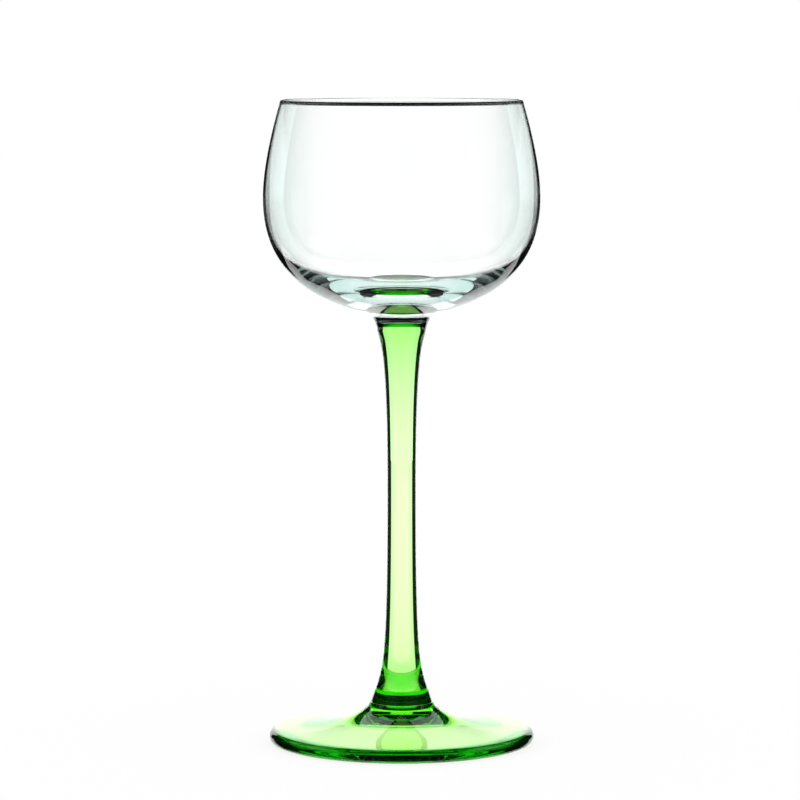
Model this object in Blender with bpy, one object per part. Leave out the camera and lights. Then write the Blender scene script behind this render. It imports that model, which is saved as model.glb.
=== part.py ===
"""Alsace wine glass: a clear blown bowl on a waisted green stem and a broad green foot.

The three pieces are turned about the Z axis and stand end to end, as they are welded on the real glass.
Sizes are in metres, +Z is up, and the origin is the centre of the circle that the foot rests on.
"""

import math

import bmesh
import bpy
from mathutils import Vector
from mathutils.geometry import interpolate_bezier

# Foot
FOOT_RADIUS = 0.0373
FOOT_EDGE_THICKNESS = 0.0038
REST_RING_WIDTH = 0.0020
FOOT_HEIGHT = 0.0113
COLLAR_STEP = 0.0003
COLLAR_HEIGHT = 0.0012
COLLAR_DRAFT = 0.0006
FOOT_NECK_TILT = math.radians(35.0)
FOOT_NECK_REACH = 0.0080
FOOT_PLATE_TILT = math.radians(4.0)
FOOT_PLATE_REACH = 0.0140
HOLLOW_DEPTH = 0.0050
HOLLOW_FLAT_RADIUS = 0.0080
HOLLOW_CROWN_REACH = 0.0040
HOLLOW_SKIRT_REACH = 0.0120

# Stem
STEM_LENGTH = 0.1062
STEM_BASE_RADIUS = 0.0086
STEM_WAIST_RADIUS = 0.0040
STEM_WAIST_HEIGHT = 0.0599
STEM_TOP_RADIUS = 0.0074
LIP_HEIGHT = 0.0013
LIP_FLARE = 0.0005
BASE_FLARE_TILT = math.radians(17.5)
BASE_FLARE_REACH = 0.0095
BASE_FLARE_LENGTH = 0.0547
TOP_FLARE_TILT = math.radians(7.0)
TOP_FLARE_REACH = 0.0047
TOP_FLARE_LENGTH = 0.0424

# Bowl
NECK_LENGTH = 0.0021
NECK_TILT = math.radians(23.0)
NECK_REACH = 0.0009
NECK_FILLET_REACH = 0.0004
HEEL_RADIUS = 0.0088
HEEL_SLOPE = math.radians(20.0)
HEEL_REACH = 0.0080
BELLY_RADIUS = 0.0386
BELLY_ABOVE_HEEL = 0.0325
BELLY_ROUNDNESS = 0.0260
SHOULDER_ROUNDNESS = 0.0078
RIM_RADIUS = 0.0338
RIM_ABOVE_BELLY = 0.0273
RIM_TILT = math.radians(15.8)
RIM_REACH = 0.0095
RIM_BEAD = 0.0012
RIM_BEAD_DEPTH = 0.0022
RIM_WALL = 0.0007
BELLY_WALL = 0.0008
FLOOR_ABOVE_HEEL = 0.0056
FLOOR_REACH = 0.0225
FLOOR_ROUNDNESS = 0.0220

# Joints between the pieces, and the fineness of the turned surfaces
WELD_CLEARANCE = 0.0003
TURN_STEPS = 56
CURVE_STEPS = 11
ARC_STEPS = 4
MERGE_DISTANCE = 0.00001
SHARP_ANGLE = math.radians(40.0)

# Heights and radii that follow from the sizes above
COLLAR_TOP_RADIUS = STEM_BASE_RADIUS + COLLAR_STEP
COLLAR_BASE_RADIUS = COLLAR_TOP_RADIUS + COLLAR_DRAFT
STEM_BASE_HEIGHT = FOOT_HEIGHT + WELD_CLEARANCE
BOWL_BASE_HEIGHT = STEM_BASE_HEIGHT + STEM_LENGTH + WELD_CLEARANCE
BELLY_HEIGHT = NECK_LENGTH + BELLY_ABOVE_HEEL
RIM_HEIGHT = BELLY_HEIGHT + RIM_ABOVE_BELLY
FLOOR_HEIGHT = NECK_LENGTH + FLOOR_ABOVE_HEEL

Profile = list[Vector]


def at(radius: float, height: float) -> Vector:
    """Return a profile point at a radius and a height."""
    return Vector((radius, 0.0, height))


def reach(angle: float, length: float) -> Vector:
    """Return a step of the given length, at an angle above the outward direction."""
    return at(length * math.cos(angle), length * math.sin(angle))


def curve(start: Vector, start_handle: Vector, end_handle: Vector, end: Vector) -> Profile:
    """Return the points of a cubic curve, both ends included."""
    return interpolate_bezier(start, start_handle, end_handle, end, CURVE_STEPS)


def arc(centre: Vector, radius: float, start_angle: float, end_angle: float) -> Profile:
    """Return the points of a circular arc, both ends included."""
    sweep = end_angle - start_angle
    return [centre + reach(start_angle + sweep * step / ARC_STEPS, radius) for step in range(ARC_STEPS + 1)]


def joined(*stretches: Profile) -> Profile:
    """Chain the stretches of a profile, leaving out the points that two stretches share."""
    profile: Profile = []
    for stretch in stretches:
        for point in stretch:
            if not profile or (point - profile[-1]).length > MERGE_DISTANCE:
                profile.append(point)
    return profile


def glass(name: str, colour: tuple[float, float, float], roughness: float) -> bpy.types.Material:
    """Return a see-through glass material of the given colour."""
    material = bpy.data.materials.new(name)
    material.use_nodes = True
    shader = material.node_tree.nodes["Principled BSDF"]
    shader.inputs["Base Color"].default_value = (*colour, 1.0)
    shader.inputs["Roughness"].default_value = roughness
    shader.inputs["Metallic"].default_value = 0.0
    shader.inputs["Transmission Weight"].default_value = 1.0
    material.diffuse_color = (*colour, 1.0)
    return material


def turned_piece(name: str, profile: Profile, material: bpy.types.Material, base_height: float,
                 parent: bpy.types.Object) -> None:
    """Turn a profile, which starts and ends on the axis, into a closed solid that stands at a height."""
    shape = bmesh.new()
    points = [shape.verts.new(point) for point in profile]
    edges = [shape.edges.new(pair) for pair in zip(points, points[1:])]
    bmesh.ops.spin(shape, geom=points + edges, cent=(0.0, 0.0, 0.0), axis=(0.0, 0.0, 1.0),
                   angle=math.tau, steps=TURN_STEPS, use_merge=True)
    bmesh.ops.remove_doubles(shape, verts=shape.verts, dist=MERGE_DISTANCE)
    bmesh.ops.recalc_face_normals(shape, faces=shape.faces)
    mesh = bpy.data.meshes.new(name)
    shape.to_mesh(mesh)
    shape.free()
    mesh.materials.append(material)
    mesh.shade_smooth()
    mesh.set_sharp_from_angle(angle=SHARP_ANGLE)
    piece = bpy.data.objects.new(name, mesh)
    piece.parent = parent
    piece.location.z = base_height
    bpy.context.scene.collection.objects.link(piece)


def foot_profile() -> Profile:
    """Return the foot: collar, sloping plate, full-round edge, flat resting ring and hollow underside."""
    edge_radius = FOOT_EDGE_THICKNESS / 2.0
    edge_centre = at(FOOT_RADIUS - edge_radius, edge_radius)
    collar_top = at(COLLAR_TOP_RADIUS, FOOT_HEIGHT)
    collar_base = at(COLLAR_BASE_RADIUS, FOOT_HEIGHT - COLLAR_HEIGHT)
    edge = joined(arc(edge_centre, edge_radius, math.pi / 2.0 - FOOT_PLATE_TILT, 0.0),
                  arc(edge_centre, edge_radius, 0.0, -math.pi / 2.0))
    plate_handle = edge[0] + reach(math.pi - FOOT_PLATE_TILT, FOOT_PLATE_REACH)
    plate = curve(collar_base, collar_base + reach(-FOOT_NECK_TILT, FOOT_NECK_REACH), plate_handle, edge[0])
    ring_inside = edge[-1] - at(REST_RING_WIDTH, 0.0)
    ceiling = at(HOLLOW_FLAT_RADIUS, HOLLOW_DEPTH)
    hollow = curve(ring_inside, ring_inside - at(HOLLOW_SKIRT_REACH, 0.0),
                   ceiling + at(HOLLOW_CROWN_REACH, 0.0), ceiling)
    return joined([at(0.0, FOOT_HEIGHT), collar_top], plate, edge, hollow, [at(0.0, HOLLOW_DEPTH)])


def stem_profile() -> Profile:
    """Return the stem: a waist between two flares, a short lip at the top, and a flat weld face at each end."""
    top = at(STEM_TOP_RADIUS, STEM_LENGTH)
    lip = top - at(LIP_FLARE, LIP_HEIGHT)
    waist = at(STEM_WAIST_RADIUS, STEM_WAIST_HEIGHT)
    base = at(STEM_BASE_RADIUS, 0.0)
    upper = curve(lip, lip + reach(-math.pi / 2.0 - TOP_FLARE_TILT, TOP_FLARE_REACH),
                  waist + at(0.0, TOP_FLARE_LENGTH), waist)
    lower = curve(waist, waist - at(0.0, BASE_FLARE_LENGTH),
                  base + reach(math.pi / 2.0 + BASE_FLARE_TILT, BASE_FLARE_REACH), base)
    return joined([at(0.0, STEM_LENGTH), top], upper, lower, [at(0.0, 0.0)])


def shoulder(rim: Vector, belly: Vector) -> Profile:
    """Return the wall from the rim's tilted edge down to the belly, where it stands upright."""
    return curve(rim, rim + reach(RIM_TILT - math.pi / 2.0, RIM_REACH), belly + at(0.0, SHOULDER_ROUNDNESS), belly)


def bowl_inside() -> Profile:
    """Return the bowl's inside, from the middle of its floor up to the foot of the rim bead."""
    floor = at(0.0, FLOOR_HEIGHT)
    belly = at(BELLY_RADIUS - BELLY_WALL, BELLY_HEIGHT)
    outside_radius = RIM_RADIUS + RIM_BEAD_DEPTH * math.tan(RIM_TILT)
    rim = at(outside_radius - RIM_WALL, RIM_HEIGHT - RIM_BEAD_DEPTH)
    lower = curve(floor, floor + at(FLOOR_REACH, 0.0), belly - at(0.0, FLOOR_ROUNDNESS), belly)
    upper = shoulder(rim, belly)
    return joined(lower, upper[::-1])


def bowl_profile() -> Profile:
    """Return the bowl: inside, rim bead, outside, and the neck that is welded to the stem."""
    bead_radius = RIM_BEAD / 2.0
    bead_centre = at(RIM_RADIUS - bead_radius, RIM_HEIGHT - bead_radius)
    bead = joined(arc(bead_centre, bead_radius, math.pi, math.pi / 2.0),
                  arc(bead_centre, bead_radius, math.pi / 2.0, RIM_TILT))
    belly = at(BELLY_RADIUS, BELLY_HEIGHT)
    heel = at(HEEL_RADIUS, NECK_LENGTH)
    neck_base = at(STEM_TOP_RADIUS, 0.0)
    lower = curve(belly, belly - at(0.0, BELLY_ROUNDNESS), heel + reach(HEEL_SLOPE, HEEL_REACH), heel)
    neck = curve(heel, heel - reach(HEEL_SLOPE, NECK_FILLET_REACH),
                 neck_base + reach(math.pi / 2.0 - NECK_TILT, NECK_REACH), neck_base)
    return joined(bowl_inside(), bead, shoulder(bead[-1], belly), lower, neck, [at(0.0, 0.0)])


def build() -> None:
    """Build the wine glass from the foot upwards."""
    for leftover in list(bpy.data.objects):
        bpy.data.objects.remove(leftover)
    wine_glass = bpy.data.objects.new("wine_glass", None)
    bpy.context.scene.collection.objects.link(wine_glass)
    clear = glass("clear_glass", (0.96, 0.98, 0.97), 0.02)
    green_stem = glass("green_stem_glass", (0.46, 0.86, 0.12), 0.02)
    green_foot = glass("green_foot_glass", (0.40, 0.82, 0.10), 0.03)
    turned_piece("foot", foot_profile(), green_foot, 0.0, wine_glass)
    turned_piece("stem", stem_profile(), green_stem, STEM_BASE_HEIGHT, wine_glass)
    turned_piece("bowl", bowl_profile(), clear, BOWL_BASE_HEIGHT, wine_glass)


build()
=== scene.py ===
"""Looks of the Alsace wine glass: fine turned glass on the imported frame, in a bright studio.

Sizes are in metres and angles in degrees. +Z is up, and the origin is the centre of the circle that the foot
rests on. The camera looks along +Y.
"""

import logging
import math
from abc import ABC, abstractmethod
from dataclasses import dataclass, replace
from enum import Enum

import bmesh
import bpy
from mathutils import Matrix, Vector
from mathutils.geometry import interpolate_bezier


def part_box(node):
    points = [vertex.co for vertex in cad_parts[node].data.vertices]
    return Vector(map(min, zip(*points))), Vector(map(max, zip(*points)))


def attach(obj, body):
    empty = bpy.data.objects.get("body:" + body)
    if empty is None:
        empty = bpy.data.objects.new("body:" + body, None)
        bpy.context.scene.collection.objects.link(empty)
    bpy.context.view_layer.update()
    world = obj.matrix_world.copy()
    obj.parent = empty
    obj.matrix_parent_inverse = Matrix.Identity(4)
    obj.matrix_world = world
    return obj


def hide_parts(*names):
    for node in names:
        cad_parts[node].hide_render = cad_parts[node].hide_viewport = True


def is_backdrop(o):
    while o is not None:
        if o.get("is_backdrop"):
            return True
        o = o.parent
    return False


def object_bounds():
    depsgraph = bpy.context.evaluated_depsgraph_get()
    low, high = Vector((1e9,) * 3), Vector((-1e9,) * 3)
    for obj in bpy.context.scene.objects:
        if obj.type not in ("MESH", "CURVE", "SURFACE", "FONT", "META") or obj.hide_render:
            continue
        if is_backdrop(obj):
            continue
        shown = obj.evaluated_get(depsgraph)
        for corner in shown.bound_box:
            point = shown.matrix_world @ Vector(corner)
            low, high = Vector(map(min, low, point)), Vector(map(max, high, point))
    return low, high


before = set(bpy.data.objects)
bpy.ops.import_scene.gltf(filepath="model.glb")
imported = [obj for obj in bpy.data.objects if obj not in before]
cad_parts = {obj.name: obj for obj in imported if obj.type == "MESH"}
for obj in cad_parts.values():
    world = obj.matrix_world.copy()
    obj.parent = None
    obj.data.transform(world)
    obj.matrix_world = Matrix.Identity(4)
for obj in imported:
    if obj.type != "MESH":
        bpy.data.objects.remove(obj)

log = logging.getLogger("wine_glass")

Profile = list[Vector]
Corner = tuple[float, float, float]
Colour = tuple[float, float, float]
Number = float | bpy.types.NodeSocket

WHITE: Colour = (1.0, 1.0, 1.0)

# Fineness of the turned surfaces
TURN_STEPS = 192
CURVE_STEPS = 48
ARC_STEPS = 12
MERGE_DISTANCE = 0.000001
SHARP_ANGLE = math.radians(9.0)

# Welds: where bowl and stem meet, how deep the stem's ends sink in, and how light passes fused glass
NECK_RADIUS = 0.0074
WELD_OVERLAP = 0.00002
FUSED_IOR = 1.0


class Node(str, Enum):
    """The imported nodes, from the table upwards."""

    FOOT = "foot"
    STEM = "stem"
    BOWL = "bowl"


class Slot(str, Enum):
    """The record's material slots."""

    CLEAR = "clear_glass"
    GREEN = "green_glass"


class Side(float, Enum):
    """The two sides of the glass, as the camera sees them."""

    LEFT = -1.0
    RIGHT = 1.0


def at(radius: float, height: float) -> Vector:
    """Return a profile point at a radius and a height."""
    return Vector((radius, 0.0, height))


def reach(angle: float, length: float) -> Vector:
    """Return a step of the given length, at an angle in degrees above the outward direction."""
    return at(length * math.cos(math.radians(angle)), length * math.sin(math.radians(angle)))


def curve(start: Vector, start_handle: Vector, end_handle: Vector, end: Vector) -> Profile:
    """Return the points of a cubic curve, both ends included."""
    return interpolate_bezier(start, start_handle, end_handle, end, CURVE_STEPS)


def arc(centre: Vector, radius: float, start_angle: float, end_angle: float) -> Profile:
    """Return the points of a circular arc, both ends included.

    Args:
        centre: Centre of the arc.
        radius: Radius of the arc.
        start_angle: Angle of the first point, in degrees above the outward direction.
        end_angle: Angle of the last point, measured alike.

    Returns:
        The points in order.
    """
    sweep = end_angle - start_angle
    return [centre + reach(start_angle + sweep * step / ARC_STEPS, radius) for step in range(ARC_STEPS + 1)]


def joined(*stretches: Profile) -> Profile:
    """Chain the stretches of a profile.

    Args:
        stretches: Lists of points, each of which starts where the one before it ends.

    Returns:
        One list of points, without the points that two stretches share.
    """
    profile: Profile = []
    for stretch in stretches:
        for point in stretch:
            if not profile or (point - profile[-1]).length > MERGE_DISTANCE:
                profile.append(point)
    return profile


def opaque(colour: Colour) -> tuple[float, float, float, float]:
    """Return a colour with full alpha."""
    return (*colour, 1.0)


def grey(level: float) -> Colour:
    """Return the grey of a level."""
    return (level, level, level)


class Graph:
    """A node tree, with short ways to add nodes to it."""

    # Places of the colour sockets among those of a Mix node, which has several of each name
    MIX_FIRST = 6
    MIX_SECOND = 7
    MIX_RESULT = 2

    def __init__(self, tree: bpy.types.NodeTree) -> None:
        """Take the tree that the nodes go into."""
        self.tree = tree

    def node(self, kind: str, **values: object) -> bpy.types.Node:
        """Add a node and set or link its inputs.

        Args:
            kind: Blender's identifier of the node.
            values: Input names, with spaces written as underscores, and a value or a socket for each.

        Returns:
            The new node.
        """
        node = self.tree.nodes.new(kind)
        for name, value in values.items():
            self.feed(node.inputs[name.replace("_", " ")], value)
        return node

    def feed(self, socket: bpy.types.NodeSocket, value: object) -> None:
        """Link a socket to another one, or set its value."""
        if isinstance(value, bpy.types.NodeSocket):
            self.tree.links.new(value, socket)
        else:
            socket.default_value = value

    def math(self, operation: str, first: Number, second: Number = 0.0) -> bpy.types.NodeSocket:
        """Add a Math node.

        Args:
            operation: Blender's name of the operation.
            first: First operand.
            second: Second operand, where the operation has one.

        Returns:
            The result's socket.
        """
        node = self.tree.nodes.new("ShaderNodeMath")
        node.operation = operation
        self.feed(node.inputs[0], first)
        self.feed(node.inputs[1], second)
        return node.outputs["Value"]

    def ramp(self, value: Number, low: Number, high: Number, to_low: Number = 0.0,
             to_high: Number = 1.0) -> bpy.types.NodeSocket:
        """Add a smooth step between two values.

        Args:
            value: What is mapped.
            low: Where the step starts.
            high: Where the step ends.
            to_low: Result at and before the start.
            to_high: Result at and past the end.

        Returns:
            The result's socket.
        """
        node = self.tree.nodes.new("ShaderNodeMapRange")
        node.interpolation_type = "SMOOTHSTEP"
        for name, number in (("Value", value), ("From Min", low), ("From Max", high), ("To Min", to_low),
                             ("To Max", to_high)):
            self.feed(node.inputs[name], number)
        return node.outputs["Result"]

    def blend(self, share: Number, first: object, second: object) -> bpy.types.NodeSocket:
        """Add a colour mix.

        Args:
            share: Share of the second colour.
            first: Colour with alpha, or a colour socket, where the share is 0.
            second: The same where the share is 1.

        Returns:
            The mixed colour's socket.
        """
        node = self.tree.nodes.new("ShaderNodeMix")
        node.data_type = "RGBA"
        self.feed(node.inputs["Factor"], share)
        self.feed(node.inputs[self.MIX_FIRST], first)
        self.feed(node.inputs[self.MIX_SECOND], second)
        return node.outputs[self.MIX_RESULT]


class NodeGroup(ABC):
    """A shader node group that is built once and shared by the materials."""

    name: str
    inputs: dict[str, str]
    outputs: dict[str, str]

    def tree(self) -> bpy.types.NodeTree:
        """Return the group's tree, which is built at the first call."""
        found = bpy.data.node_groups.get(self.name)
        return found if found else self.build()

    def build(self) -> bpy.types.NodeTree:
        """Make the group's sockets and fill it.

        Returns:
            The new group's tree.
        """
        tree = bpy.data.node_groups.new(self.name, "ShaderNodeTree")
        for name, kind in self.inputs.items():
            tree.interface.new_socket(name, in_out="INPUT", socket_type=kind)
        for name, kind in self.outputs.items():
            tree.interface.new_socket(name, in_out="OUTPUT", socket_type=kind)
        graph = Graph(tree)
        source = tree.nodes.new("NodeGroupInput")
        sink = tree.nodes.new("NodeGroupOutput")
        for name, socket in self.fill(graph, source.outputs).items():
            graph.feed(sink.inputs[name], socket)
        return tree

    def place(self, graph: Graph, **values: object) -> bpy.types.Node:
        """Add the group to a tree.

        Args:
            graph: The tree that it goes into.
            values: Input names, with spaces written as underscores, and a value or a socket for each.

        Returns:
            The group node.
        """
        node = graph.tree.nodes.new("ShaderNodeGroup")
        node.node_tree = self.tree()
        for name, value in values.items():
            graph.feed(node.inputs[name.replace("_", " ")], value)
        return node

    @abstractmethod
    def fill(self, graph: Graph, given: bpy.types.bpy_prop_collection) -> dict[str, bpy.types.NodeSocket]:
        """Add the group's nodes and return a socket for each output name."""


class WorkedSurface(NodeGroup):
    """The slight unevenness of hot-worked glass: slow waves, wiped smears and a faint change of tint."""

    name = "worked_glass_surface"
    inputs = {"Waves": "NodeSocketFloat", "Draw": "NodeSocketFloat", "Smears": "NodeSocketFloat",
              "Clean Roughness": "NodeSocketFloat", "Smeared Roughness": "NodeSocketFloat",
              "Tint": "NodeSocketColor", "Deep Tint": "NodeSocketColor"}
    outputs = {"Height": "NodeSocketFloat", "Roughness": "NodeSocketFloat", "Colour": "NodeSocketColor"}

    # Noise of the waves and of the smears, and the part of the smears' noise that shows
    wave_noise = {"Detail": 1.0, "Roughness": 0.4}
    smear_noise = {"Detail": 4.0, "Roughness": 0.6, "Distortion": 0.8}
    smear_start = 0.52
    smear_full = 0.70

    def fill(self, graph: Graph, given: bpy.types.bpy_prop_collection) -> dict[str, bpy.types.NodeSocket]:
        """Add the waves, the smears and the tint.

        Args:
            graph: The group's tree.
            given: The group's inputs.

        Returns:
            The sockets of Height, Roughness and Colour.
        """
        place = graph.node("ShaderNodeTexCoord").outputs["Object"]
        stretch = graph.node("ShaderNodeCombineXYZ", X=1.0, Y=1.0, Z=given["Draw"]).outputs["Vector"]
        drawn = graph.node("ShaderNodeMapping", Vector=place, Scale=stretch).outputs["Vector"]
        waves = graph.node("ShaderNodeTexNoise", Vector=drawn, Scale=given["Waves"], **self.wave_noise)
        smears = graph.node("ShaderNodeTexNoise", Vector=place, Scale=given["Smears"], **self.smear_noise)
        mask = graph.ramp(smears.outputs["Fac"], self.smear_start, self.smear_full)
        roughness = graph.ramp(mask, 0.0, 1.0, given["Clean Roughness"], given["Smeared Roughness"])
        colour = graph.blend(waves.outputs["Fac"], given["Tint"], given["Deep Tint"])
        return {"Height": waves.outputs["Fac"], "Roughness": roughness, "Colour": colour}


class SoftPatch(NodeGroup):
    """The brightness of one soft-edged patch of the studio, seen from the glass in a direction."""

    name = "soft_studio_patch"
    inputs = dict.fromkeys(("Azimuth", "Elevation", "Side Start", "Side End", "Low End", "High End",
                            "Softness", "Level"), "NodeSocketFloat")
    outputs = {"Brightness": "NodeSocketFloat"}

    def fill(self, graph: Graph, given: bpy.types.bpy_prop_collection) -> dict[str, bpy.types.NodeSocket]:
        """Multiply a soft step at each of the patch's four edges.

        Args:
            graph: The group's tree.
            given: The group's inputs.

        Returns:
            The socket of Brightness.
        """
        level = given["Level"]
        edges = (("Azimuth", "Side Start", -1.0), ("Azimuth", "Side End", 1.0),
                 ("Elevation", "Low End", -1.0), ("Elevation", "High End", 1.0))
        for angle, edge, outwards in edges:
            faded = graph.math("MULTIPLY_ADD", given["Softness"], outwards)
            graph.feed(faded.node.inputs[2], given[edge])
            level = graph.math("MULTIPLY", level, graph.ramp(given[angle], faded, given[edge]))
        return {"Brightness": level}


@dataclass(frozen=True)
class GlassFinish:
    """A polished glass and how it was worked."""

    name: str
    ior: float
    absorbed: Colour
    tint: Colour
    deep_tint: Colour
    clean_roughness: float
    smeared_roughness: float
    smear_size: float
    wave_size: float
    wave_height: float
    draw: float

    def fused(self) -> "GlassFinish":
        """Return the same glass as it is inside a weld, where it neither bends light nor mirrors it."""
        return replace(self, name=f"{self.name}_weld", ior=FUSED_IOR, smeared_roughness=0.0)

    def material(self) -> bpy.types.Material:
        """Make the material.

        Returns:
            A glass that takes up light through its thickness, with a slightly uneven surface.
        """
        material = bpy.data.materials.new(self.name)
        material.use_nodes = True
        graph = Graph(material.node_tree)
        shader = material.node_tree.nodes["Principled BSDF"]
        output = material.node_tree.nodes["Material Output"]
        surface = WorkedSurface().place(
            graph, Waves=1.0 / self.wave_size, Draw=self.draw, Smears=1.0 / self.smear_size,
            Clean_Roughness=self.clean_roughness, Smeared_Roughness=self.smeared_roughness,
            Tint=opaque(self.tint), Deep_Tint=opaque(self.deep_tint))
        bump = graph.node("ShaderNodeBump", Strength=1.0, Distance=self.wave_height,
                          Height=surface.outputs["Height"])
        graph.feed(shader.inputs["Base Color"], surface.outputs["Colour"])
        graph.feed(shader.inputs["Roughness"], surface.outputs["Roughness"])
        graph.feed(shader.inputs["Normal"], bump.outputs["Normal"])
        shader.inputs["IOR"].default_value = self.ior
        shader.inputs["Metallic"].default_value = 0.0
        shader.inputs["Transmission Weight"].default_value = 1.0
        density = max(self.absorbed)
        kept = tuple(1.0 - share / density for share in self.absorbed)
        depth = graph.node("ShaderNodeVolumeAbsorption", Color=opaque(kept), Density=density)
        graph.feed(output.inputs["Volume"], depth.outputs["Volume"])
        return material


CLEAR_GLASS = GlassFinish(
    name="clear_blown_glass", ior=1.52, absorbed=(5.0, 2.0, 2.6), tint=(0.992, 0.998, 0.996),
    deep_tint=(0.984, 0.995, 0.992), clean_roughness=0.0, smeared_roughness=0.008, smear_size=0.020,
    wave_size=0.016, wave_height=0.00002, draw=0.6)
GREEN_STEM_GLASS = GlassFinish(
    name="green_drawn_glass", ior=1.52, absorbed=(66.0, 6.0, 112.0), tint=(0.996, 1.0, 0.990),
    deep_tint=(0.980, 0.998, 0.965), clean_roughness=0.0, smeared_roughness=0.010, smear_size=0.012,
    wave_size=0.008, wave_height=0.00001, draw=0.3)
GREEN_FOOT_GLASS = GlassFinish(
    name="green_pressed_glass", ior=1.52, absorbed=(110.0, 12.0, 210.0), tint=(0.996, 1.0, 0.990),
    deep_tint=(0.980, 0.998, 0.965), clean_roughness=0.0, smeared_roughness=0.012, smear_size=0.015,
    wave_size=0.010, wave_height=0.00001, draw=1.0)


class TurnedGlass(ABC):
    """A piece of glass turned about the Z axis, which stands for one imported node."""

    node: Node
    slot: Slot
    finish: GlassFinish

    @property
    def base_height(self) -> float:
        """Return the height of the node's lowest point."""
        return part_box(self.node.value)[0].z

    @property
    def height(self) -> float:
        """Return the node's height."""
        low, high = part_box(self.node.value)
        return high.z - low.z

    @property
    def widest_radius(self) -> float:
        """Return the node's largest radius."""
        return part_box(self.node.value)[1].x

    @abstractmethod
    def profile(self) -> Profile:
        """Return the outline, which starts and ends on the axis, above the node's lowest point."""

    @abstractmethod
    def welds(self) -> list[Vector]:
        """Return the rim of each flat face that is fused to the next piece, as profile points."""

    def build(self) -> bpy.types.Object:
        """Turn the outline into a closed mesh.

        Returns:
            The piece, where its node is.
        """
        shape = bmesh.new()
        points = [shape.verts.new(point) for point in self.profile()]
        edges = [shape.edges.new(pair) for pair in zip(points, points[1:])]
        bmesh.ops.spin(shape, geom=points + edges, cent=(0.0, 0.0, 0.0), axis=(0.0, 0.0, 1.0),
                       angle=math.tau, steps=TURN_STEPS, use_merge=True)
        bmesh.ops.remove_doubles(shape, verts=shape.verts, dist=MERGE_DISTANCE)
        bmesh.ops.recalc_face_normals(shape, faces=shape.faces)
        name = f"glass_{self.node.value}"
        mesh = bpy.data.meshes.new(name)
        shape.to_mesh(mesh)
        shape.free()
        mesh.shade_smooth()
        mesh.set_sharp_from_angle(angle=SHARP_ANGLE)
        self.mark_welds(mesh)
        piece = bpy.data.objects.new(name, mesh)
        piece.location.z = self.base_height
        bpy.context.scene.collection.objects.link(piece)
        return piece

    def mark_welds(self, mesh: bpy.types.Mesh) -> None:
        """Give the faces inside a weld the piece's second material.

        Args:
            mesh: The turned mesh.
        """
        rims = self.welds()
        for face in mesh.polygons:
            radius, height = face.center.xy.length, face.center.z
            fused = any(abs(height - rim.z) < MERGE_DISTANCE and radius < rim.x for rim in rims)
            face.material_index = int(fused)

    def dress(self, piece: bpy.types.Object) -> None:
        """Give the piece its glass, and tie it to the frame.

        Args:
            piece: The piece that build returned.
        """
        for finish in (self.finish, self.finish.fused()):
            piece.data.materials.append(finish.material())
        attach(piece, "root")
        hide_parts(self.node.value)


@dataclass
class Foot(TurnedGlass):
    """The pressed foot: a collar, a sloping plate with a full-round edge, and a hollow underside."""

    edge_thickness: float = 0.0038
    rest_ring_width: float = 0.0020
    collar_step: float = 0.0003
    collar_height: float = 0.0012
    collar_draft: float = 0.0006
    neck_tilt: float = 35.0
    neck_reach: float = 0.0080
    plate_tilt: float = 4.0
    plate_reach: float = 0.0140
    hollow_depth: float = 0.0050
    hollow_flat_radius: float = 0.0080
    hollow_crown_reach: float = 0.0040
    hollow_skirt_reach: float = 0.0120

    node = Node.FOOT
    slot = Slot.GREEN
    finish = GREEN_FOOT_GLASS

    def profile(self) -> Profile:
        """Return the outline from the collar's top, round the edge, to the hollow's ceiling."""
        edge_radius = self.edge_thickness / 2.0
        edge_centre = at(self.widest_radius - edge_radius, edge_radius)
        weld, = self.welds()
        collar_top = weld + at(self.collar_step, 0.0)
        collar_base = collar_top + at(self.collar_draft, -self.collar_height)
        edge = joined(arc(edge_centre, edge_radius, 90.0 - self.plate_tilt, 0.0),
                      arc(edge_centre, edge_radius, 0.0, -90.0))
        plate_handle = edge[0] + reach(180.0 - self.plate_tilt, self.plate_reach)
        plate = curve(collar_base, collar_base + reach(-self.neck_tilt, self.neck_reach),
                      plate_handle, edge[0])
        ring_inside = edge[-1] - at(self.rest_ring_width, 0.0)
        ceiling = at(self.hollow_flat_radius, self.hollow_depth)
        hollow = curve(ring_inside, ring_inside - at(self.hollow_skirt_reach, 0.0),
                       ceiling + at(self.hollow_crown_reach, 0.0), ceiling)
        return joined([at(0.0, self.height), weld, collar_top], plate, edge, hollow,
                      [at(0.0, self.hollow_depth)])

    def welds(self) -> list[Vector]:
        """Return the rim of the stem's weld on the collar."""
        return [at(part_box(Node.STEM.value)[1].x, self.height)]


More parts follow.
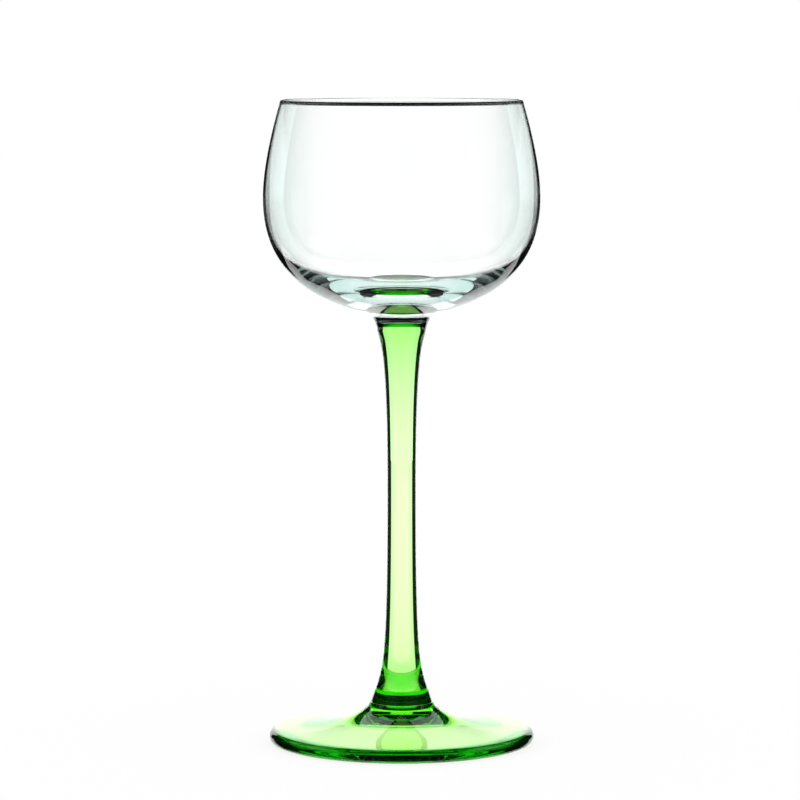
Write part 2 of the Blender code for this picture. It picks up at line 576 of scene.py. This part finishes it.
@dataclass
class Stem(TurnedGlass):
    """The drawn stem: a waist between two flares, with a short lip under the bowl."""

    waist_radius: float = 0.0040
    waist_height: float = 0.0599
    top_radius: float = NECK_RADIUS
    lip_height: float = 0.0013
    lip_flare: float = 0.0005
    base_flare_tilt: float = 17.5
    base_flare_reach: float = 0.0095
    base_flare_length: float = 0.0547
    top_flare_tilt: float = 7.0
    top_flare_reach: float = 0.0047
    top_flare_length: float = 0.0424

    node = Node.STEM
    slot = Slot.GREEN
    finish = GREEN_STEM_GLASS

    def profile(self) -> Profile:
        """Return the outline from the bowl's weld down to the foot's weld, sunk into both of them."""
        top_weld, base_weld = self.welds()
        top = at(self.top_radius, self.height)
        lip = top - at(self.lip_flare, self.lip_height)
        waist = at(self.waist_radius, self.waist_height)
        base = at(self.widest_radius, 0.0)
        upper = curve(lip, lip + reach(-90.0 - self.top_flare_tilt, self.top_flare_reach),
                      waist + at(0.0, self.top_flare_length), waist)
        lower = curve(waist, waist - at(0.0, self.base_flare_length),
                      base + reach(90.0 + self.base_flare_tilt, self.base_flare_reach), base)
        return joined([at(0.0, top_weld.z), top_weld], upper, lower, [base_weld, at(0.0, base_weld.z)])

    def welds(self) -> list[Vector]:
        """Return the rims of the bowl's weld and of the foot's weld."""
        foot_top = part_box(Node.FOOT.value)[1].z - WELD_OVERLAP
        bowl_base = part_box(Node.BOWL.value)[0].z + WELD_OVERLAP
        return [at(self.top_radius, bowl_base - self.base_height),
                at(self.widest_radius, foot_top - self.base_height)]


@dataclass
class Bowl(TurnedGlass):
    """The blown bowl: a thin wall that draws in to a beaded rim, a thick floor and a short neck."""

    neck_radius: float = NECK_RADIUS
    neck_length: float = 0.0021
    neck_tilt: float = 23.0
    neck_reach: float = 0.0009
    neck_fillet_reach: float = 0.0004
    heel_radius: float = 0.0088
    heel_slope: float = 20.0
    heel_reach: float = 0.0080
    belly_above_heel: float = 0.0325
    belly_roundness: float = 0.0260
    shoulder_roundness: float = 0.0078
    rim_radius: float = 0.0338
    rim_tilt: float = 15.8
    rim_reach: float = 0.0095
    rim_bead: float = 0.0009
    rim_bead_depth: float = 0.0014
    rim_wall: float = 0.0007
    belly_wall: float = 0.0008
    floor_above_heel: float = 0.0056
    floor_reach: float = 0.0225
    floor_roundness: float = 0.0220

    node = Node.BOWL
    slot = Slot.CLEAR
    finish = CLEAR_GLASS

    def shoulder(self, rim: Vector, belly: Vector) -> Profile:
        """Return the wall from the rim's tilted edge down to the upright belly."""
        return curve(rim, rim + reach(self.rim_tilt - 90.0, self.rim_reach),
                     belly + at(0.0, self.shoulder_roundness), belly)

    def inside(self) -> Profile:
        """Return the inside, from the middle of the floor up to the rim bead."""
        floor = at(0.0, self.neck_length + self.floor_above_heel)
        belly = at(self.widest_radius - self.belly_wall, self.neck_length + self.belly_above_heel)
        outside_radius = self.rim_radius + self.rim_bead_depth * math.tan(math.radians(self.rim_tilt))
        rim = at(outside_radius - self.rim_wall, self.height - self.rim_bead_depth)
        lower = curve(floor, floor + at(self.floor_reach, 0.0),
                      belly - at(0.0, self.floor_roundness), belly)
        return joined(lower, self.shoulder(rim, belly)[::-1])

    def profile(self) -> Profile:
        """Return the outline: inside, rim bead, outside, and the neck down to the stem's weld."""
        bead_radius = self.rim_bead / 2.0
        bead_centre = at(self.rim_radius - bead_radius, self.height - bead_radius)
        bead = joined(arc(bead_centre, bead_radius, 180.0, 90.0),
                      arc(bead_centre, bead_radius, 90.0, self.rim_tilt))
        belly = at(self.widest_radius, self.neck_length + self.belly_above_heel)
        heel = at(self.heel_radius, self.neck_length)
        neck_base = at(self.neck_radius, 0.0)
        lower = curve(belly, belly - at(0.0, self.belly_roundness),
                      heel + reach(self.heel_slope, self.heel_reach), heel)
        neck = curve(heel, heel - reach(self.heel_slope, self.neck_fillet_reach),
                     neck_base + reach(90.0 - self.neck_tilt, self.neck_reach), neck_base)
        return joined(self.inside(), bead, self.shoulder(bead[-1], belly), lower, neck, [at(0.0, 0.0)])

    def welds(self) -> list[Vector]:
        """Return the rim of the stem's weld under the neck."""
        return [at(self.neck_radius, 0.0)]


@dataclass(frozen=True)
class LightPatch:
    """A soft-edged patch of light round the glass, alike on the left and the right.

    Sides are angles from straight behind the glass, and heights are angles above level.
    """

    side_start: float
    side_end: float
    low_end: float
    high_end: float
    softness: float
    level: float


BACK_PANEL = LightPatch(
    side_start=-10.0, side_end=10.0, low_end=-4.0, high_end=60.0, softness=4.0, level=1.22)
LOW_PANEL = LightPatch(
    side_start=-10.0, side_end=35.0, low_end=-26.0, high_end=-6.5, softness=3.0, level=1.22)
SIDE_SOFTBOX = LightPatch(
    side_start=48.0, side_end=98.0, low_end=32.0, high_end=48.0, softness=9.0, level=0.70)
FRONT_FILL = LightPatch(
    side_start=118.0, side_end=160.0, low_end=-16.0, high_end=36.0, softness=15.0, level=0.10)
TABLE_TOP = LightPatch(
    side_start=-10.0, side_end=190.0, low_end=-95.0, high_end=-42.0, softness=8.0, level=0.12)
PATCHES = (BACK_PANEL, LOW_PANEL, SIDE_SOFTBOX, FRONT_FILL, TABLE_TOP)

# Brightness of what is unlit in the studio
DARK_LEVEL = 0.012


class GlowFinish:
    """A material that only gives off light, which can change with the place on its prop."""

    def __init__(self, name: str) -> None:
        """Start the material with no light in it."""
        self.material = bpy.data.materials.new(name)
        self.material.use_nodes = True
        self.material.cycles.emission_sampling = "NONE"
        self.material.node_tree.nodes.clear()
        self.graph = Graph(self.material.node_tree)
        self.place = self.graph.node("ShaderNodeTexCoord").outputs["Object"]

    def along(self, axis: str) -> bpy.types.NodeSocket:
        """Return the place along one of the prop's axes, X, Y or Z."""
        return self.graph.node("ShaderNodeSeparateXYZ", Vector=self.place).outputs[axis]

    def across(self) -> bpy.types.NodeSocket:
        """Return the distance from the prop's middle, alike to both sides."""
        return self.graph.math("ABSOLUTE", self.along("X"))

    def lit(self, colour: object, level: Number) -> bpy.types.Material:
        """Let the material give off light.

        Args:
            colour: Colour with alpha, or a colour socket.
            level: Brightness.

        Returns:
            The finished material.
        """
        glow = self.graph.node("ShaderNodeEmission", Color=colour, Strength=level)
        self.graph.node("ShaderNodeOutputMaterial", Surface=glow.outputs["Emission"])
        return self.material


class StageProp(ABC):
    """A prop of the studio, which isn't part of the glass."""

    name: str

    @abstractmethod
    def mesh(self) -> bpy.types.Mesh:
        """Make the prop's mesh."""

    @abstractmethod
    def material(self) -> bpy.types.Material:
        """Make what the prop is made of."""

    def build(self) -> bpy.types.Object:
        """Put the prop on the stage.

        Returns:
            The prop.
        """
        mesh = self.mesh()
        mesh.materials.append(self.material())
        prop = bpy.data.objects.new(self.name, mesh)
        bpy.context.scene.collection.objects.link(prop)
        prop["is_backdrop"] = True
        self.show(prop)
        log.info("%s is on the stage", prop.name)
        return prop

    def show(self, prop: bpy.types.Object) -> None:
        """Leave the prop visible in reflections and through glass alone."""
        prop.visible_camera = False
        prop.visible_diffuse = False
        prop.visible_shadow = False


class Card(StageProp):
    """A prop with one flat face."""

    @abstractmethod
    def corners(self) -> list[Corner]:
        """Return the face's corners, in order."""

    def mesh(self) -> bpy.types.Mesh:
        """Make the face.

        Returns:
            A mesh of one face.
        """
        corners = self.corners()
        mesh = bpy.data.meshes.new(self.name)
        mesh.from_pydata(corners, [], [tuple(range(len(corners)))])
        return mesh


def upright(left: float, right: float, behind: float, low: float, high: float) -> list[Corner]:
    """Return the corners of an upright card.

    Args:
        left: One side's place across the view.
        right: The other side's place.
        behind: Distance behind the glass's axis.
        low: Height of the lower edge.
        high: Height of the upper edge.

    Returns:
        The four corners, in order.
    """
    return [(left, behind, low), (right, behind, low), (right, behind, high), (left, behind, high)]


@dataclass
class Floor(Card):
    """The pale floor, which is white where nothing shades it."""

    half: float = 6.0
    gap: float = 0.0002
    paint_level: float = 0.9
    glow_share: float = 0.84

    name = "floor"

    def corners(self) -> list[Corner]:
        """Return the floor's corners, a hair below the foot."""
        return [(-self.half, -self.half, -self.gap), (self.half, -self.half, -self.gap),
                (self.half, self.half, -self.gap), (-self.half, self.half, -self.gap)]

    def material(self) -> bpy.types.Material:
        """Make the floor's paint.

        Returns:
            A matt paint that is lifted towards white and still takes shadows.
        """
        material = bpy.data.materials.new("pale_floor")
        material.use_nodes = True
        material.node_tree.nodes.clear()
        graph = Graph(material.node_tree)
        paint = graph.node("ShaderNodeBsdfDiffuse", Color=opaque(grey(self.paint_level)))
        glow = graph.node("ShaderNodeEmission", Color=opaque(WHITE), Strength=1.0)
        mix = graph.node("ShaderNodeMixShader", Fac=self.glow_share)
        graph.feed(mix.inputs[1], paint.outputs["BSDF"])
        graph.feed(mix.inputs[2], glow.outputs["Emission"])
        graph.node("ShaderNodeOutputMaterial", Surface=mix.outputs["Shader"])
        return material

    def show(self, prop: bpy.types.Object) -> None:
        """Leave the floor out of what the glass shows, where the dome takes its place."""
        prop.visible_glossy = False
        prop.visible_transmission = False


@dataclass
class TableLight(Card):
    """The table top under the foot: a glowing disc of painted light that stands in for light passing through
    the green glass above it.
    """

    steps: int = 48
    gap: float = 0.0001
    shade_start: float = 0.0060
    shade_end: float = 0.0300
    level: float = 1.1
    near_colour: Colour = (0.92, 1.0, 0.82)
    far_colour: Colour = (0.30, 0.92, 0.18)

    name = "painted_light_under_foot"

    def corners(self) -> list[Corner]:
        """Return a ring of corners as wide as the foot."""
        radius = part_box(Node.FOOT.value)[1].x
        turns = [math.tau * step / self.steps for step in range(self.steps)]
        return [(radius * math.cos(turn), radius * math.sin(turn), -self.gap) for turn in turns]

    def material(self) -> bpy.types.Material:
        """Make the painted light under the foot.

        Returns:
            A pale glow that turns green towards the far side. The green is painted light, in place of light
            tinted by the foot's glass.
        """
        finish = GlowFinish("painted_light_under_foot")
        # Painted light: the glow goes from pale to green towards the far side, in place of light that the
        # green foot tints
        shaded = finish.graph.ramp(finish.along("Y"), self.shade_start, self.shade_end)
        colour = finish.graph.blend(shaded, opaque(self.near_colour), opaque(self.far_colour))
        return finish.lit(colour, self.level)


@dataclass
class LightDome(StageProp):
    """The dome round the glass, with the patches of light on it."""

    radius: float = 2.5
    steps: int = 48

    name = "light_dome"

    def mesh(self) -> bpy.types.Mesh:
        """Make the dome's sphere.

        Returns:
            A sphere about its own middle.
        """
        shape = bmesh.new()
        bmesh.ops.create_uvsphere(shape, u_segments=2 * self.steps, v_segments=self.steps, radius=self.radius)
        mesh = bpy.data.meshes.new(self.name)
        shape.to_mesh(mesh)
        shape.free()
        return mesh

    def material(self) -> bpy.types.Material:
        """Make the dome's light.

        Returns:
            A dark surround with the bright patches in it.
        """
        finish = GlowFinish("ring_of_light")
        graph = finish.graph
        way = graph.node("ShaderNodeVectorMath", Vector=finish.place)
        way.operation = "NORMALIZE"
        split = graph.node("ShaderNodeSeparateXYZ", Vector=way.outputs["Vector"])
        turn = graph.math("ARCTAN2", split.outputs["X"], split.outputs["Y"])
        azimuth = graph.math("DEGREES", graph.math("ABSOLUTE", turn))
        elevation = graph.math("DEGREES", graph.math("ARCSINE", split.outputs["Z"]))
        brightness: Number = DARK_LEVEL
        for patch in PATCHES:
            lit = SoftPatch().place(graph, Azimuth=azimuth, Elevation=elevation, Side_Start=patch.side_start,
                                    Side_End=patch.side_end, Low_End=patch.low_end, High_End=patch.high_end,
                                    Softness=patch.softness, Level=patch.level)
            brightness = graph.math("MAXIMUM", lit.outputs["Brightness"], brightness)
        return finish.lit(opaque(WHITE), brightness)

    def build(self) -> bpy.types.Object:
        """Put the dome on the stage.

        Returns:
            The dome, about the middle of the glass.
        """
        dome = super().build()
        low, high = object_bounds()
        dome.location.z = (low.z + high.z) / 2.0
        return dome


@dataclass
class Spot(Card):
    """The panel behind the stem, which is brightest in the middle."""

    half_width: float = 0.130
    behind: float = 0.200
    low: float = -0.060
    high: float = 0.075
    fade: float = 0.030
    side_fade: float = 0.090
    level: float = 1.7
    edge_level: float = 1.22

    name = "low_spot"

    def corners(self) -> list[Corner]:
        """Return the panel's corners."""
        return upright(-self.half_width, self.half_width, self.behind, self.low, self.high)

    def material(self) -> bpy.types.Material:
        """Make the panel's light.

        Returns:
            A white glow that fades to the level of the panels round it.
        """
        finish = GlowFinish("low_spot")
        graph = finish.graph
        height = finish.along("Z")
        share = graph.ramp(finish.across(), self.half_width, self.half_width - self.side_fade)
        for edge, fade in ((self.low, self.fade), (self.high, -self.fade)):
            share = graph.math("MULTIPLY", share, graph.ramp(height, edge, edge + fade))
        level = graph.ramp(share, 0.0, 1.0, self.edge_level, self.level)
        return finish.lit(opaque(WHITE), level)


@dataclass
class BackCard(Card):
    """The white card behind the bowl, a little greener at its sides and dark above the rim."""

    half_width: float = 0.060
    behind: float = 0.080
    low: float = 0.070
    high: float = 0.191
    top: float = 0.270
    fade: float = 0.004
    rise: float = 0.050
    level: float = 1.22
    low_level: float = 1.6
    shade_start: float = 0.025
    shade_end: float = 0.042
    edge_colour: Colour = (0.86, 0.95, 0.925)

    name = "back_card"

    def corners(self) -> list[Corner]:
        """Return the card's corners, its dark part included."""
        return upright(-self.half_width, self.half_width, self.behind, self.low, self.top)

    def material(self) -> bpy.types.Material:
        """Make the card's light.

        Returns:
            A glow that is brighter near the lower edge, where the spot follows.
        """
        finish = GlowFinish("back_card")
        graph = finish.graph
        height = finish.along("Z")
        shaded = graph.ramp(finish.across(), self.shade_start, self.shade_end)
        colour = graph.blend(shaded, opaque(WHITE), opaque(self.edge_colour))
        lower = graph.ramp(height, self.low, self.low + self.rise, self.low_level, self.level)
        level = graph.ramp(height, self.high, self.high + self.fade, lower, DARK_LEVEL)
        return finish.lit(colour, level)


@dataclass
class Flag(Card):
    """A dark card beside the bowl, which draws the bowl's edge and is paler far out and high up."""

    side: Side
    near_edge: float = 0.046
    dark_edge: float = 0.062
    pale_edge: float = 0.075
    far_edge: float = 0.200
    behind: float = 0.060
    low: float = 0.108
    high: float = 0.190
    pale_low: float = 0.140
    pale_full: float = 0.155
    pale_colour: Colour = (0.35, 0.40, 0.39)

    @property
    def name(self) -> str:
        """Return the flag's name, with its side."""
        return f"{self.side.name.lower()}_flag"

    def corners(self) -> list[Corner]:
        """Return the flag's corners."""
        side = self.side.value
        return upright(side * self.near_edge, side * self.far_edge, self.behind, self.low, self.high)

    def material(self) -> bpy.types.Material:
        """Make the flag's card.

        Returns:
            A black card with a pale outer part.
        """
        finish = GlowFinish("black_card")
        graph = finish.graph
        pale = graph.math("MULTIPLY", graph.ramp(finish.across(), self.dark_edge, self.pale_edge),
                          graph.ramp(finish.along("Z"), self.pale_low, self.pale_full))
        colour = graph.blend(pale, opaque(grey(DARK_LEVEL)), opaque(self.pale_colour))
        return finish.lit(colour, 1.0)


@dataclass
class PhotoCamera:
    """The camera in the photograph's place."""

    distance: float = 1.0891
    height: float = 0.1944
    pitch: float = 5.1467
    turn: float = 0.024
    lens: float = 176.2
    sensor_width: float = 36.0

    def build(self) -> bpy.types.Object:
        """Make the camera and look through it.

        Returns:
            The camera.
        """
        data = bpy.data.cameras.new("camera")
        data.lens = self.lens
        data.sensor_width = self.sensor_width
        camera = bpy.data.objects.new("camera", data)
        camera.location = (0.0, -self.distance, self.height)
        camera.rotation_euler = (math.radians(90.0 - self.pitch), 0.0, math.radians(self.turn))
        bpy.context.scene.collection.objects.link(camera)
        bpy.context.scene.camera = camera
        bpy.context.view_layer.update()
        return camera


@dataclass
class Studio:
    """The bright studio: a white room, a pale floor, and lights and cards that show in the glass."""

    room_level: float = 1.13
    max_bounces: int = 32
    transmission_bounces: int = 32
    glossy_bounces: int = 16

    def build(self) -> None:
        """Make the whole studio. The dome, the panels and the flags go round with the camera."""
        scene = bpy.context.scene
        scene.view_settings.view_transform = "Standard"
        scene.cycles.max_bounces = self.max_bounces
        scene.cycles.transmission_bounces = self.transmission_bounces
        scene.cycles.glossy_bounces = self.glossy_bounces
        camera = PhotoCamera().build()
        self.room()
        for fixture in (Floor(), TableLight()):
            fixture.build()
        for prop in (LightDome(), Spot(), BackCard(), Flag(Side.LEFT), Flag(Side.RIGHT)):
            card = prop.build()
            card.parent = camera
            card.matrix_parent_inverse = camera.matrix_world.inverted()

    def room(self) -> None:
        """Make the world: white to the camera, and an even light on the floor."""
        world = bpy.data.worlds.new("white_room")
        bpy.context.scene.world = world
        world.use_nodes = True
        graph = Graph(world.node_tree)
        background = world.node_tree.nodes["Background"]
        background.inputs["Color"].default_value = opaque(WHITE)
        seen = graph.node("ShaderNodeLightPath").outputs["Is Camera Ray"]
        graph.feed(background.inputs["Strength"], graph.ramp(seen, 0.0, 1.0, self.room_level, 1.0))


def main() -> None:
    """Build and dress the glass from the foot upwards, then the studio round it."""
    logging.basicConfig(level=logging.INFO)
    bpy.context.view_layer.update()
    for part in (Foot(), Stem(), Bowl()):
        piece = part.build()
        part.dress(piece)
        log.info("%s stands for %s: %d faces", piece.name, part.node.value, len(piece.data.polygons))
    Studio().build()


if __name__ == "__main__":
    main()
